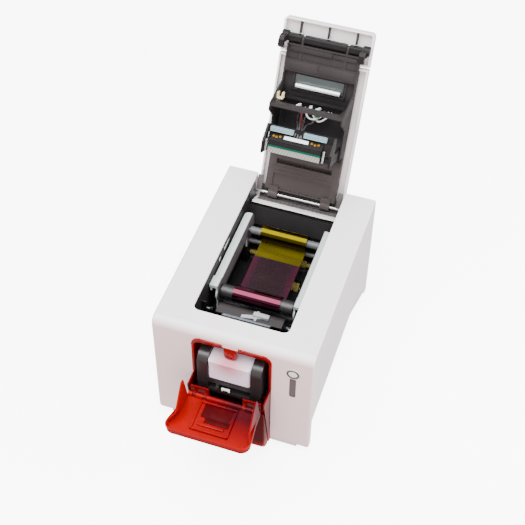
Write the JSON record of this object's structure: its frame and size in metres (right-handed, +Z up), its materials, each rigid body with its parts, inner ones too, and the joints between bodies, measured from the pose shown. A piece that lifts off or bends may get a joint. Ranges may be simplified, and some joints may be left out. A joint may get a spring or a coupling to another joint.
{
  "type": "id card printer",
  "caption": "Desktop plastic-card printer, lid and front card door open: white cover, black lid frame with print head, ribbon cartridge in its bay, translucent red feeder and hopper.",
  "frame": {"origin": "on the surface the printer stands on, under the middle of its overall extent with the lid and the feeder door open", "axes": "+X to the right seen from the front, +Y from the front to the back, +Z up"},
  "size_m": [0.205, 0.4785, 0.3831],
  "materials": {
    "white_shell": "satin moulded",
    "lid_shell": "satin moulded",
    "black_plastic": "fine grain moulded",
    "dark_plastic": "moulded",
    "liner_plastic": "fine grain moulded",
    "red_clear": "translucent, polished",
    "rail_plastic": "satin moulded",
    "light_grey": "satin moulded",
    "cream_plastic": "satin moulded",
    "card_white": "glossy card",
    "ribbon_yellow": "glossy film",
    "ribbon_magenta": "glossy film",
    "ribbon_film": "thin translucent film",
    "core_grey": "satin moulded",
    "core_dark": "satin moulded",
    "steel": "brushed",
    "bright_steel": "polished",
    "bronze": "sintered",
    "sink_metal": "satin",
    "rubber_black": "matt",
    "rubber_grey": "ground",
    "belt_rubber": "matt",
    "motor_metal": "satin",
    "board_green": "solder mask",
    "head_green": "solder mask",
    "ceramic": "glazed",
    "socket_metal": "plated",
    "window_smoke": "smoked, polished",
    "button_ring": "satin"
  },
  "bodies": {
    "printer": {"outer_cover": "white_shell", "base_tray": "dark_plastic", "base_screws": "steel", "rubber_feet": "rubber_black", "side_frames": "steel", "bushings": "bronze", "bay_liner": "liner_plastic", "hinge_trough": "liner_plastic", "hinge_rod": "bright_steel", "transport_bed": "black_plastic", "transport_motor": "motor_metal", "ribbon_motor": "motor_metal", "drive_belt": "belt_rubber", "card_feeder": "black_plastic", "blank_cards": "card_white", "feeder_roof": "dark_plastic", "feeder_hood": "dark_plastic", "guide_clip": "light_grey", "front_surround": "red_clear", "output_hopper": "red_clear", "door_pins": "steel", "status_window": "window_smoke", "status_board": "board_green", "rear_panel": "white_shell", "main_board": "board_green", "usb_socket": "socket_metal", "network_socket": "socket_metal", "power_inlet": "black_plastic", "switch_housing": "black_plastic", "lid_catches": "steel"},
    "lid": {"lid_cover": "lid_shell", "lid_frame": "black_plastic", "ribbon_guides": "steel", "wire_clip": "cream_plastic"},
    "latch": {"release_flap": "lid_shell", "latch_bar": "black_plastic"},
    "print_head": {"head_carriage": "black_plastic", "heat_sinks": "sink_metal", "head_board": "head_green", "head_ceramic": "ceramic"},
    "cartridge": {"cartridge_frame": "rail_plastic", "ribbon_film": "ribbon_film"},
    "supply_spool": {"supply_core": "core_grey", "supply_roll": "ribbon_yellow"},
    "takeup_spool": {"takeup_core": "core_dark", "takeup_roll": "ribbon_magenta"},
    "platen": {"platen_sleeve": "rubber_black", "platen_shaft": "steel"},
    "front_feed": {"front_feed_roller": "rubber_grey"},
    "rear_feed": {"rear_feed_roller": "rubber_grey"},
    "front_pinch": {"front_pinch_roller": "rubber_grey"},
    "rear_pinch": {"rear_pinch_roller": "rubber_grey"},
    "pick": {"pick_roller": "rubber_grey"},
    "cleaner": {"cleaning_roller": "rubber_grey"},
    "motor_shaft": {"motor_pulley": "steel"},
    "gauge": {"gauge_lever": "light_grey"},
    "door": {"feeder_door": "red_clear"},
    "button": {"control_button": "button_ring"},
    "rocker": {"power_rocker": "black_plastic"}
  },
  "joints": [
    {"name": "lid_hinge", "type": "hinge", "parent": "printer", "child": "lid", "pos_m": [0, 0.11897, 0.174], "axis": [1, 0, 0], "range_deg": [0, 115.5], "deforming": ["ribbon_film", "lid_catches"]},
    {"name": "latch_hinge", "type": "hinge", "parent": "lid", "child": "latch", "pos_m": [0, 0.21475, 0.3632], "axis": [-1, 0, 0], "range_deg": [0, 8], "stiffness_Nm_per_rad": 0.4, "springref_deg": -17.19},
    {"name": "head_pivot", "type": "hinge", "parent": "lid", "child": "print_head", "pos_m": [0, 0.14525, 0.25232], "axis": [-1, 0, 0], "range_deg": [0, 3], "stiffness_Nm_per_rad": 1.5, "springref_deg": -8.59},
    {"name": "cartridge_lift", "type": "slide", "parent": "printer", "child": "cartridge", "axis": [0, 0, -1], "range_m": [-0.09, 0]},
    {"name": "supply_spin", "type": "hinge", "parent": "cartridge", "child": "supply_spool", "pos_m": [0, 0.05997, 0.159], "axis": [1, 0, 0], "continuous": true},
    {"name": "takeup_spin", "type": "hinge", "parent": "cartridge", "child": "takeup_spool", "pos_m": [0, -0.05103, 0.159], "axis": [1, 0, 0], "continuous": true},
    {"name": "platen_spin", "type": "hinge", "parent": "printer", "child": "platen", "pos_m": [0, 0.03297, 0.096], "axis": [1, 0, 0], "continuous": true},
    {"name": "front_feed_spin", "type": "hinge", "parent": "printer", "child": "front_feed", "pos_m": [0, -0.03103, 0.098], "axis": [1, 0, 0], "continuous": true},
    {"name": "rear_feed_spin", "type": "hinge", "parent": "printer", "child": "rear_feed", "pos_m": [0, 0.06497, 0.098], "axis": [1, 0, 0], "continuous": true},
    {"name": "front_pinch_spin", "type": "hinge", "parent": "printer", "child": "front_pinch", "pos_m": [0, -0.03103, 0.11006], "axis": [1, 0, 0], "continuous": true},
    {"name": "rear_pinch_spin", "type": "hinge", "parent": "printer", "child": "rear_pinch", "pos_m": [0, 0.06497, 0.11006], "axis": [1, 0, 0], "continuous": true},
    {"name": "pick_spin", "type": "hinge", "parent": "printer", "child": "pick", "pos_m": [0, -0.10103, 0.1187], "axis": [1, 0, 0], "continuous": true},
    {"name": "cleaner_spin", "type": "hinge", "parent": "printer", "child": "cleaner", "pos_m": [0, -0.05703, 0.1245], "axis": [1, 0, 0], "continuous": true},
    {"name": "motor_spin", "type": "hinge", "parent": "printer", "child": "motor_shaft", "pos_m": [0, -0.01303, 0.054], "axis": [1, 0, 0], "continuous": true},
    {"name": "gauge_slide", "type": "slide", "parent": "printer", "child": "gauge", "axis": [1, 0, 0], "range_m": [-0.003, 0.003]},
    {"name": "door_hinge", "type": "hinge", "parent": "printer", "child": "door", "pos_m": [0, -0.17753, 0.106], "axis": [-1, 0, 0], "range_deg": [0, 105]},
    {"name": "button_press", "type": "slide", "parent": "printer", "child": "button", "axis": [0, 1, 0], "range_m": [0, 0.0012], "stiffness_N_per_m": 400, "springref_m": -0.002},
    {"name": "switch_rock", "type": "hinge", "parent": "printer", "child": "rocker", "pos_m": [-0.076, 0.12667, 0.03], "axis": [-1, 0, 0], "range_deg": [0, 9]}
  ],
  "couplings": [
    {"joint": "takeup_spin", "follows": "supply_spin", "ratio": 1},
    {"joint": "front_feed_spin", "follows": "platen_spin", "ratio": 1.3333},
    {"joint": "rear_feed_spin", "follows": "platen_spin", "ratio": 1.3333},
    {"joint": "motor_spin", "follows": "platen_spin", "ratio": 1.3333},
    {"joint": "pick_spin", "follows": "platen_spin", "ratio": 1.3333},
    {"joint": "front_pinch_spin", "follows": "platen_spin", "ratio": -1.6},
    {"joint": "rear_pinch_spin", "follows": "platen_spin", "ratio": -1.6},
    {"joint": "cleaner_spin", "follows": "platen_spin", "ratio": -1.3333}
  ]
}
